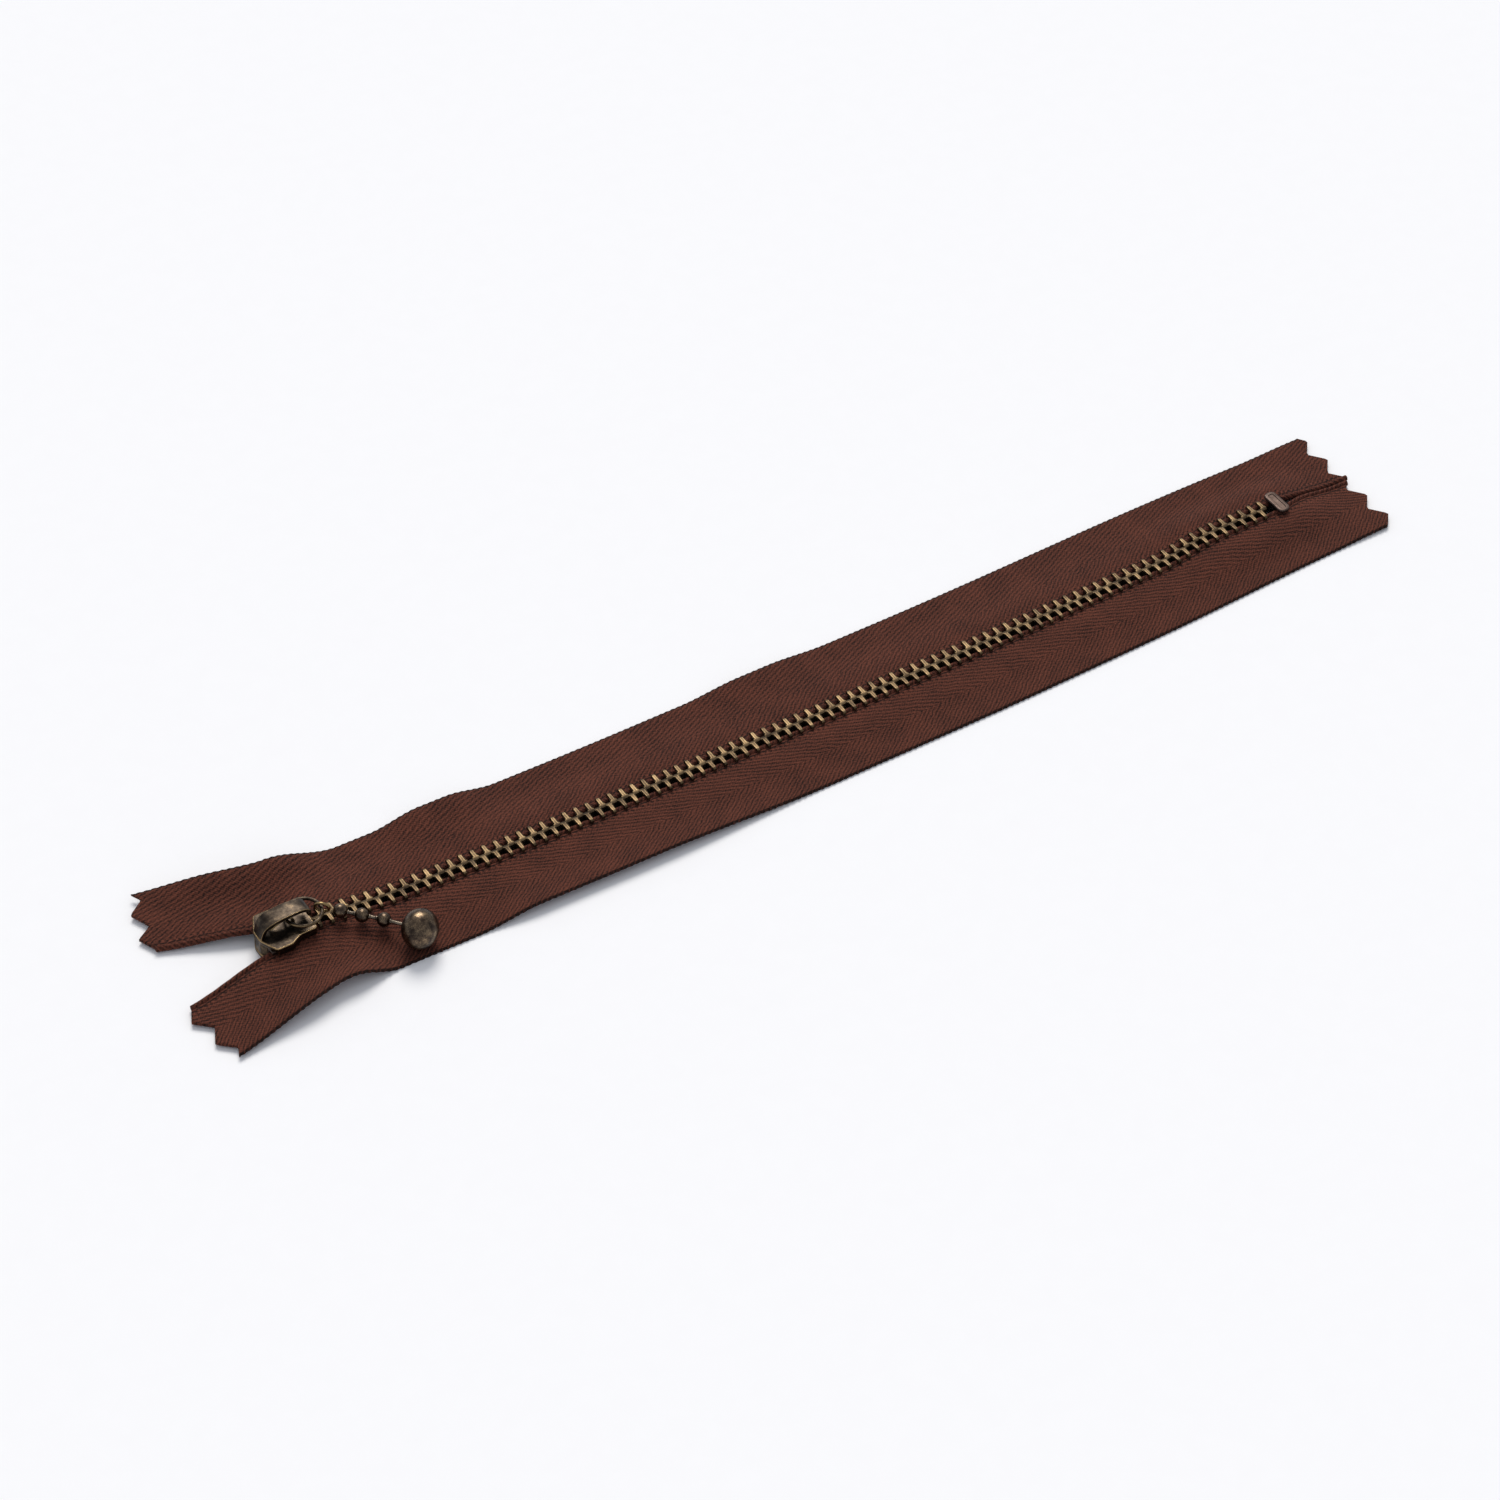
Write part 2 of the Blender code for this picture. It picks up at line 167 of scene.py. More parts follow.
def blend_colours(
    tree: NodeTree, share: object, first: object, second: object
) -> NodeSocket:
    """The colour between two, for a share from 0 to 1."""
    inputs = {0: share, 6: first, 7: second}
    return add(tree, "ShaderNodeMix", inputs, data_type="RGBA").outputs[2]


def blank_material(name: str) -> tuple[Material, NodeTree, Node]:
    """A new material with its node tree and its Principled shader."""
    material = bpy.data.materials.new(name)
    material.use_nodes = True
    tree = material.node_tree
    return material, tree, tree.nodes["Principled BSDF"]


def finished(bm: BMesh, name: str, finish: Material) -> Object:
    """Turn a bmesh into an object at the origin with one finish, and free it."""
    mesh = bpy.data.meshes.new(name)
    bm.to_mesh(mesh)
    bm.free()
    mesh.materials.append(finish)
    piece = bpy.data.objects.new(name, mesh)
    bpy.context.scene.collection.objects.link(piece)
    return piece


def shift(bm: BMesh, way: Sequence[float]) -> None:
    """Move a whole bmesh."""
    bmesh.ops.translate(bm, vec=way, verts=bm.verts)


# ------------------------------------------------------------------------------
# Finishes


@dataclass(frozen=True)
class PolyesterTwill:
    """Dyed polyester tape woven in a herringbone twill.

    To the eye: matt slanting ribs with darker gaps between the yarns, which change their slant
    halfway across each tape. The yarns are drawn coarser than real ones, which would be too fine to
    show. Each weight is a pattern's share of the height, which also sets how light the cloth is.
    """

    name: str = "polyester_twill"
    rib: str = "#6e3d2e"
    groove: str = "#1c0d09"
    rib_spacing_mm: float = 0.8
    rib_weight: float = 0.24
    level: float = 0.47
    yarn_spacing_mm: float = 0.55
    yarn_weight: float = 0.22
    fuzz_per_mm: float = 2.6
    fuzz_weight: float = 1.9
    cloud_per_mm: float = 0.2
    cloud_weight: float = 0.5
    wander_per_mm: float = 0.5
    wander_mm: float = 0.8
    band_turns_at_mm: float = 7.4
    far_slants: Pair = (0.75, 0.45)
    near_slants: Pair = (-0.42, 0.8)
    stitch_mm: Pair = (2.45, 3.15)
    stitch_pitch_mm: float = 0.95
    stitch_weight: float = 0.22
    # Half the width of the painted shadow that the teeth cast on the tape, in a band just past
    # their legs' tips.
    tooth_shadow_half_mm: float = 0.12
    selvedge_from_mm: float = 14.35
    shade_weight: float = -0.5
    bump_mm: float = 0.12
    bump_strength: float = 0.9
    roughness: float = 0.88
    specular: float = 0.18
    sheen: float = 0.05
    sheen_roughness: float = 0.45
    sheen_tint: str = "#b08a7c"

    def slant(self, tree: NodeTree, across: object, is_outer: object) -> object:
        """How many millimetres across the ribs climb for each one along."""
        tapes = []
        for inner, outer in (self.near_slants, self.far_slants):
            tapes.append(maths(tree, "MULTIPLY_ADD", is_outer, outer - inner, inner))
        is_far = maths(tree, "GREATER_THAN", across, 0.0)
        return add(tree, "ShaderNodeMix", {0: is_far, 2: tapes[0], 3: tapes[1]}).outputs[0]

    def wave(self, tree: NodeTree, value: object, length_mm: float) -> object:
        """A wave from -1 to 1 of this length."""
        return maths(tree, "SINE", maths(tree, "MULTIPLY", value, 2 * math.pi / length_mm))

    def centred(self, tree: NodeTree, node: Node) -> object:
        """A noise's value, moved to lie about 0."""
        return maths(tree, "SUBTRACT", node.outputs[0], 0.5)

    def weave(self, tree: NodeTree, uv: object) -> tuple[object, object]:
        """The height of the ribs, the yarns and their fuzz.

        Args:
            tree: The node tree.
            uv: Where the point is on the flat tape, in millimetres.

        Returns:
            The height, and how far along the tape it was read.
        """
        wander = noise(tree, uv, self.wander_per_mm, detail=4.0).outputs["Color"]
        steps = {0: wander, 1: (self.wander_mm, self.wander_mm, 0.0), 2: uv}
        moved = add(tree, "ShaderNodeVectorMath", steps, operation="MULTIPLY_ADD").outputs[0]
        split = add(tree, "ShaderNodeSeparateXYZ", {0: moved})
        along, across = split.outputs[0], split.outputs[1]
        reach = maths(tree, "ABSOLUTE", across)
        is_outer = maths(tree, "GREATER_THAN", reach, self.band_turns_at_mm)
        climb = maths(tree, "MULTIPLY", along, self.slant(tree, across, is_outer))
        rib = self.wave(tree, maths(tree, "SUBTRACT", across, climb), self.rib_spacing_mm)
        picks = self.wave(tree, across, self.yarn_spacing_mm)
        ends = self.wave(tree, along, self.yarn_spacing_mm)
        yarn = maths(tree, "MULTIPLY", picks, ends)
        fuzz = self.centred(tree, noise(tree, uv, self.fuzz_per_mm, detail=5.0, roughness=0.7))
        height = maths(tree, "MULTIPLY_ADD", rib, self.rib_weight, self.level)
        height = maths(tree, "MULTIPLY_ADD", yarn, self.yarn_weight, height)
        return maths(tree, "MULTIPLY_ADD", fuzz, self.fuzz_weight, height), along

    def material(self) -> Material:
        """The tape's material, on its own UV map."""
        material, tree, shader = blank_material(self.name)
        uv = add(tree, "ShaderNodeUVMap", uv_map=CLOTH_UV).outputs[0]
        height, along = self.weave(tree, uv)
        reach = maths(tree, "ABSOLUTE", add(tree, "ShaderNodeSeparateXYZ", {0: uv}).outputs[1])
        low, high = self.stitch_mm
        row = maths(tree, "COMPARE", reach, (low + high) / 2, (high - low) / 2)
        stitch = maths(tree, "MULTIPLY", row, self.wave(tree, along, self.stitch_pitch_mm))
        height = maths(tree, "MULTIPLY_ADD", stitch, self.stitch_weight, height)
        # A narrow band just past the tips of the tooth legs is painted darker: painted shadow of
        # the teeth on the tape.
        narrow_band = maths(tree, "COMPARE", reach, low - self.tooth_shadow_half_mm, self.tooth_shadow_half_mm)
        edge = maths(tree, "GREATER_THAN", reach, self.selvedge_from_mm)
        # shade only darkens the colour: painted shadow beside the teeth, and a darker strip along
        # the outer edge.
        shade = maths(tree, "MULTIPLY", maths(tree, "ADD", narrow_band, edge), self.shade_weight)
        cloudy = self.centred(tree, noise(tree, uv, self.cloud_per_mm))
        tint = maths(tree, "MULTIPLY_ADD", cloudy, self.cloud_weight, height)
        tint = maths(tree, "ADD", tint, shade)
        colour = blend_colours(tree, tint, linear(self.groove), linear(self.rib))
        depths = {"Height": height, "Distance": self.bump_mm * MM, "Strength": self.bump_strength}
        bump = add(tree, "ShaderNodeBump", depths)
        tree.links.new(colour, shader.inputs["Base Color"])
        tree.links.new(bump.outputs[0], shader.inputs["Normal"])
        shader.inputs["Roughness"].default_value = self.roughness
        shader.inputs["Specular IOR Level"].default_value = self.specular
        shader.inputs["Sheen Weight"].default_value = self.sheen
        shader.inputs["Sheen Roughness"].default_value = self.sheen_roughness
        shader.inputs["Sheen Tint"].default_value = linear(self.sheen_tint)
        return material


@dataclass(frozen=True)
class AgedBrass:
    """Brass, darkened in a bath and then relieved.

    To the eye: brown-black in the hollows, and golden where it is rubbed.
    """

    name: str
    dark: str
    middle: str
    rubbed: str
    roughness: float
    mottle_mm: float = 1.4
    mottle_range: Pair = (0.36, 0.64)
    rub_share: float = 0.15
    rub_range: Pair = (0.05, 0.6)
    rub_most: float = 0.95
    spot_weight: float = 0.9
    edge_share: float = 0.75
    rubbed_smoother_by: float = 0.14
    grain_mm: float = 0.12
    grain_roughness: float = 0.12
    bump_mm: float = 0.02
    bump_strength: float = 0.5

    def material(self) -> Material:
        """The brass's material, on the piece's own coordinates and its wear and tone attributes."""
        material, tree, shader = blank_material(self.name)
        place = add(tree, "ShaderNodeTexCoord").outputs["Object"]
        patches = 1.0 / (self.mottle_mm * MM)
        mottle = noise(tree, place, patches, detail=4.0, roughness=0.6).outputs[0]
        grain = noise(tree, place, 1.0 / (self.grain_mm * MM)).outputs[0]
        wear = add(tree, "ShaderNodeAttribute", attribute_name=WEAR).outputs["Fac"]
        tone = add(tree, "ShaderNodeAttribute", attribute_name=TONE).outputs["Fac"]
        patina = maths(tree, "ADD", rise(tree, mottle, *self.mottle_range), tone)
        body = blend_colours(tree, patina, linear(self.dark), linear(self.middle))
        spots = maths(tree, "MULTIPLY", maths(tree, "ADD", grain, mottle), self.spot_weight)
        rubbing = maths(tree, "ADD", spots, self.rub_share - 1.0)
        rubbing = maths(tree, "MULTIPLY_ADD", wear, self.edge_share, rubbing)
        share = rise(tree, rubbing, *self.rub_range, top=self.rub_most)
        colour = blend_colours(tree, share, body, linear(self.rubbed))
        shine = maths(tree, "MULTIPLY_ADD", share, -self.rubbed_smoother_by, self.roughness)
        shine = maths(tree, "MULTIPLY_ADD", grain, self.grain_roughness, shine)
        depths = {"Height": grain, "Distance": self.bump_mm * MM, "Strength": self.bump_strength}
        bump = add(tree, "ShaderNodeBump", depths)
        tree.links.new(colour, shader.inputs["Base Color"])
        tree.links.new(shine, shader.inputs["Roughness"])
        tree.links.new(bump.outputs[0], shader.inputs["Normal"])
        shader.inputs["Metallic"].default_value = 1.0
        return material


@dataclass(frozen=True)
class WhiteBoard:
    """Smooth white card under soft light.

    To the eye: matt, with the faintest mottle of its fibres.
    """

    name: str = "white_board"
    colour: str = "#f8f9fb"
    mottled: str = "#f6f7f9"
    fibre_mm: float = 4.0
    roughness: float = 0.75
    specular: float = 0.1

    def material(self) -> Material:
        """The board's material."""
        material, tree, shader = blank_material(self.name)
        place = add(tree, "ShaderNodeTexCoord").outputs["Object"]
        fibres = noise(tree, place, 1.0 / (self.fibre_mm * MM)).outputs[0]
        colour = blend_colours(tree, fibres, linear(self.colour), linear(self.mottled))
        tree.links.new(colour, shader.inputs["Base Color"])
        shader.inputs["Roughness"].default_value = self.roughness
        shader.inputs["Specular IOR Level"].default_value = self.specular
        return material


@dataclass(frozen=True)
class Finishes:
    """Every material of the zipper, made once."""

    twill: Material
    tooth: Material
    stop: Material
    slider: Material
    ball: Material
    wire: Material
    link: Material

    @classmethod
    def make(cls) -> "Finishes":
        """Make them all."""
        tooth = AgedBrass(
            "tooth_brass", "#41362a", "#675640", "#836f51", 0.44, mottle_mm=2.5, edge_share=0.25
        )
        stop = AgedBrass(
            "stop_brass", "#3f342f", "#51443e", "#6a5b53", 0.42, mottle_mm=1.8, edge_share=0.4
        )
        slider = AgedBrass(
            "slider_brass", "#2a241f", "#4c433a", "#a08660", 0.34, rub_share=0.06, edge_share=0.8
        )
        ball = AgedBrass("ball_brass", "#352c27", "#615346", "#c0a47c", 0.27, rub_share=0.16)
        return cls(
            twill=PolyesterTwill().material(),
            tooth=tooth.material(),
            stop=stop.material(),
            slider=slider.material(),
            ball=ball.material(),
            wire=AgedBrass("wire_brass", "#5c4c38", "#8a744f", "#b59a6a", 0.3).material(),
            link=AgedBrass("link_brass", "#3a322b", "#5f5447", "#8b7f6f", 0.32).material(),
        )


# ------------------------------------------------------------------------------
# The zipper's axes and how the tapes run in them


@dataclass(frozen=True)
class ZipperAxes:
    """Where the zipper's own axes stand in the fixed frame."""

    origin_mm: Vector

    @classmethod
    def from_frame(cls, slider_front: float) -> "ZipperAxes":
        """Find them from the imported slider.

        Args:
            slider_front: The X of the slider's front, in the zipper's axes.

        Returns:
            The axes.
        """
        low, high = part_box("slider_body")
        return cls(Vector((low.x / MM - slider_front, (low.y + high.y) / 2 / MM, 0.0)))

    def metres(self, place: Sequence[float]) -> Vector:
        """A place in the zipper's axes, as a point of the frame."""
        return (Vector(place) + self.origin_mm) * MM

    def settle(self, bm: BMesh, name: str, finish: Material) -> Object:
        """Turn a millimetre bmesh into a finished object with its place in its mesh.

        Args:
            bm: The mesh, in the zipper's axes. It is freed.
            name: The piece's name.
            finish: Its material.

        Returns:
            The object, at the origin.
        """
        shift(bm, self.origin_mm)
        bmesh.ops.scale(bm, vec=(MM, MM, MM), verts=bm.verts)
        piece = finished(bm, name, finish)
        piece.data.shade_smooth()
        piece.data.set_sharp_from_angle(angle=math.radians(SHARP_DEG))
        return piece


@dataclass(frozen=True)
class Swell:
    """A stretch where something rises smoothly, stays and falls again: a lift, a sag or a bow."""

    starts: float
    full_from: float
    full_to: float
    ends: float
    height: float

    def at(self, x: float) -> float:
        """How much it has risen at x."""
        risen = self.height * smooth(self.starts, self.full_from, x)
        return risen * smooth(self.ends, self.full_to, x)


@dataclass(frozen=True)
class Lie:
    """What differs from one tape to the other as they lie."""

    splay: float  # how far the tape moves out for each millimetre in front of the slider
    left_tip_x: float  # the first tip of the splayed end
    left_depth: float  # how deep that end is pinked
    right_first_tip: float  # the first tip behind the bottom stop; one cut went through both tapes
    closing_in: float  # how far the tape comes in behind the stop, where the cords lie together
    swells: tuple[Swell, ...]  # where the outer edge lifts off the table


LIES = {
    Side.FAR: Lie(
        splay=0.40,
        left_tip_x=-15.6,
        left_depth=2.3,
        right_first_tip=1.1,
        closing_in=0.45,
        swells=(
            Swell(-16.0, 2.0, 8.0, 21.0, 3.9),
            Swell(27.0, 36.0, 41.0, 50.0, 1.6),
            Swell(86.0, 97.0, 103.0, 115.0, 0.9),
        ),
    ),
    Side.NEAR: Lie(
        splay=0.17,
        left_tip_x=-16.5,
        left_depth=2.2,
        right_first_tip=6.1,
        closing_in=1.3,
        swells=(Swell(-14.0, 3.0, 9.0, 17.5, 2.8), Swell(31.0, 43.0, 64.0, 98.0, 1.5)),
    ),
}


@dataclass(frozen=True)
class TapeRun:
    """How a tape runs: beside the chain, parting in the slider, and splayed in front of it."""

    side: Side
    cloth_thick: float = 0.45
    inner: float = 1.6
    outer: float = 14.6
    # The chain: its height, its sag and bow away from the slider and the stop, and the whole bow.
    middle_height: float = 2.05
    sag: Swell = Swell(9.0, 24.0, 174.0, 187.0, 1.0)
    bow: Swell = Swell(0.0, 75.0, 125.0, 200.0, 1.3)
    chain_bow: Swell = Swell(8.0, 28.0, 174.0, 187.0, 0.55)
    # Across the tape: level beside the chain, down to the table, and lifted where the edge swells.
    level_to: float = 3.9
    table_from: float = 11.2
    table_height: float = 0.27
    lift_from: float = 4.7
    lift_to: float = 15.6
    # In front of the slider: parting inside it, splaying from its mouth, and dropping to the table.
    part_from: float = 7.2
    mouth_x: float = 1.2
    mouth_offset: float = 1.4
    turn_reach: float = 1.3
    drop_from: float = -1.0
    drop_to: float = -14.0
    left_height: float = 0.75
    left_first_tip: float = 4.0
    left_shear: float = 0.2
    # Behind the bottom stop: the tapes close on each other and sink.
    closing_from: float = 198.6
    closing_to: float = 208.0
    selvedge_from: float = 165.0
    tail_from: float = 203.0
    tail_to: float = 215.0
    tail_height: float = 0.6
    right_tip_x: float = 217.8
    pink_pitch: float = 6.0
    pink_depth: float = 2.4

    @property
    def lie(self) -> Lie:
        """This tape's own values."""
        return LIES[self.side]

    def bare_parting(self, x: float) -> float:
        """How far the tape is pushed out at x, with sharp turns."""
        inside = self.mouth_offset * ramp(self.part_from, self.mouth_x, x)
        return inside + self.lie.splay * max(self.mouth_x - x, 0.0)

    def parting(self, x: float) -> float:
        """The same with its turns rounded, as cloth bends."""
        ends = self.bare_parting(x - self.turn_reach) + self.bare_parting(x + self.turn_reach)
        return ends / 4 + self.bare_parting(x) / 2

    def closing(self, x: float, across: float) -> float:
        """How far the tape has come in at x: at once along its cord, slowly along its selvedge."""
        share = ramp(self.level_to, self.outer, across)
        start = self.closing_from + (self.selvedge_from - self.closing_from) * share
        end = self.closing_to + (self.right_tip_x - self.closing_to) * share
        return self.lie.closing_in * smooth(start, end, x)

    def chain_height(self, x: float) -> float:
        """The height of the chain's middle, which sinks between the slider and the stop."""
        return self.middle_height - self.sag.at(x)

    def aside(self, x: float, across: float = 0.0) -> float:
        """How far the zipper lies to the near side of a straight line, less at the selvedges."""
        inner_share = 1.0 - ramp(self.level_to, self.outer, across)
        return self.bow.at(x) + self.chain_bow.at(x) * inner_share

    def height(self, x: float, across: float) -> float:
        """The cloth's middle height at x, across millimetres from the chain's middle."""
        fall = smooth(self.level_to, self.table_from, across)
        chain = self.chain_height(x)
        resting = chain + (self.table_height - chain) * fall
        lying = smooth(self.drop_from, self.drop_to, x)
        resting += (self.left_height - resting) * lying
        resting += (self.tail_height - resting) * smooth(self.tail_from, self.tail_to, x)
        lift = sum(swell.at(x) for swell in self.lie.swells)
        return resting + lift * smooth(self.lift_from, self.lift_to, across)

    def laid(self, x: float, across: float) -> Vector:
        """Where a point of the flat tape lies once the zipper is closed and put down."""
        out = across + self.parting(x) - self.closing(x, across)
        return Vector((x, self.side.value * out - self.aside(x, across), self.height(x, across)))

    def zigzag(self, first_tip: float, depth: float, across: float) -> float:
        """How deep a pinked edge is cut in at a place across the tape."""
        turn = ((across - first_tip) / self.pink_pitch) % 1.0
        return depth * (1.0 - abs(1.0 - 2.0 * turn))

    def left_edge(self, across: float) -> float:
        """The pinked edge in front of the slider, which was cut a little askew."""
        askew = self.left_shear * (across - self.left_first_tip)
        cut_in = self.zigzag(self.left_first_tip, self.lie.left_depth, across)
        return self.lie.left_tip_x + askew + cut_in

    def right_edge(self, across: float) -> float:
        """The pinked edge behind the bottom stop."""
        return self.right_tip_x - self.zigzag(self.lie.right_first_tip, self.pink_depth, across)


# ------------------------------------------------------------------------------
# Mesh helpers


def wrap_grid(along: int, across: int, place: Callable[[float, float], Vector]) -> BMesh:
    """A grid whose points go where place says, for shares along and across from 0 to 1."""
    bm = bmesh.new()
    bmesh.ops.create_grid(bm, x_segments=along, y_segments=across, size=0.5)
    for vert in bm.verts:
        vert.co = place(vert.co.x + 0.5, vert.co.y + 0.5)
    return bm


def plate(outline: Outline, low: float, high: float) -> BMesh:
    """A flat outline in X and Y, made solid from low to high."""
    bm = bmesh.new()
    face = bm.faces.new([bm.verts.new((x, y, low)) for x, y in outline])
    grown = bmesh.ops.extrude_face_region(bm, geom=[face])["geom"]
    moved = [g for g in grown if isinstance(g, BMVert)]
    bmesh.ops.translate(bm, vec=(0.0, 0.0, high - low), verts=moved)
    bmesh.ops.recalc_face_normals(bm, faces=bm.faces)
    return bm


def mirrored(half: Outline) -> list[Pair]:
    """A half outline on the far side, followed back along the near side."""
    return list(half) + [(x, -y) for x, y in reversed(half)]


def soften(
    bm: BMesh, edges: Sequence[BMEdge], width: float, segments: int
) -> None:
    """Round edges off, and mark the new faces as rubbed.

    Args:
        bm: The mesh.
        edges: The edges to round.
        width: How far the rounding reaches.
        segments: How many faces it has.
    """
    made = bmesh.ops.bevel(
        bm,
        geom=list(edges),
        offset=width,
        offset_type="OFFSET",
        segments=segments,
        profile=0.5,
        affect="EDGES",
        clamp_overlap=True,
        material=-1,
    )
    mark_worn(bm, made["faces"], 1.0)


def mark_worn(
    bm: BMesh, faces: Sequence[BMFace], share: float
) -> None:
    """Write how rubbed these faces are."""
    layer = bm.loops.layers.float.get(WEAR) or bm.loops.layers.float.new(WEAR)
    for face in faces:
        for loop in face.loops:
            loop[layer] = share


def edges_at(bm: BMesh, least_degrees: float) -> list[BMEdge]:
    """The edges where a mesh turns by at least this much."""
    least = math.radians(least_degrees)
    return [e for e in bm.edges if len(e.link_faces) == 2 and e.calc_face_angle() > least]


def upright_edges(bm: BMesh, least_degrees: float) -> list[BMEdge]:
    """Those of them that stand upright."""
    found = edges_at(bm, least_degrees)
    return [e for e in found if abs((e.verts[0].co - e.verts[1].co).normalized().z) > 0.99]


def stand_in(piece: Object, node: str, rider: str) -> Object:
    """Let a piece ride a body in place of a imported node, and return it."""
    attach(piece, rider)
    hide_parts(node)
    return piece


def write_cloth_uv(bm: BMesh, flat: Outline) -> None:
    """Write where each vertex is on the flat tape, in millimetres."""
    layer = bm.loops.layers.uv.new(CLOTH_UV)
    bm.verts.index_update()
    for face in bm.faces:
        for loop in face.loops:
            loop[layer].uv = flat[loop.vert.index]


def merge(target: BMesh, extra: BMesh) -> None:
    """Add one bmesh to another, and free the first."""
    mesh = bpy.data.meshes.new("helper")
    extra.to_mesh(mesh)
    extra.free()
    target.from_mesh(mesh)
    bpy.data.meshes.remove(mesh)


def turn_to(bm: BMesh, along: Vector, centre: Vector) -> None:
    """Turn a mesh made about +Z so that it points along, and move it to centre."""
    turn = Vector((0.0, 0.0, 1.0)).rotation_difference(along).to_matrix()
    bmesh.ops.rotate(bm, matrix=turn, verts=bm.verts)
    shift(bm, centre)


def rounded_path(corners: Outline, steps: int) -> list[Vector]:
    """A path whose corners are cut twice, so that it bends like formed strip.

    Args:
        corners: The corners, with both ends.
        steps: How many times each corner is cut.

    Returns:
        The points of the path.
    """
    path = [Vector(corner) for corner in corners]
    for _ in range(steps):
        cut = [path[0]]
        for first, second in zip(path, path[1:]):
            cut.append(first.lerp(second, 0.25))
            cut.append(first.lerp(second, 0.75))
        path = [*cut, path[-1]]
    return path


def strip_outline(path: Sequence[Vector], thick: float) -> list[Pair]:
    """The outline of a bent strip: its path moved half a thickness to each side."""
    upper, lower = [], []
    for number, point in enumerate(path):
        before = path[max(number - 1, 0)]
        after = path[min(number + 1, len(path) - 1)]
        ahead = (after - before).normalized()
        side = Vector((-ahead.y, ahead.x)) * (thick / 2)
        upper.append(tuple(point + side))
        lower.append(tuple(point - side))
    return upper + lower[::-1]


def upright_strip(outline: Outline, half_width: float) -> BMesh:
    """An outline in X and Z, made solid across Y."""
    bm = plate(outline, -half_width, half_width)
    bmesh.ops.rotate(bm, matrix=Matrix.Rotation(math.radians(90), 3, "X"), verts=bm.verts)
    return bm


# ------------------------------------------------------------------------------
# Sub-assemblies


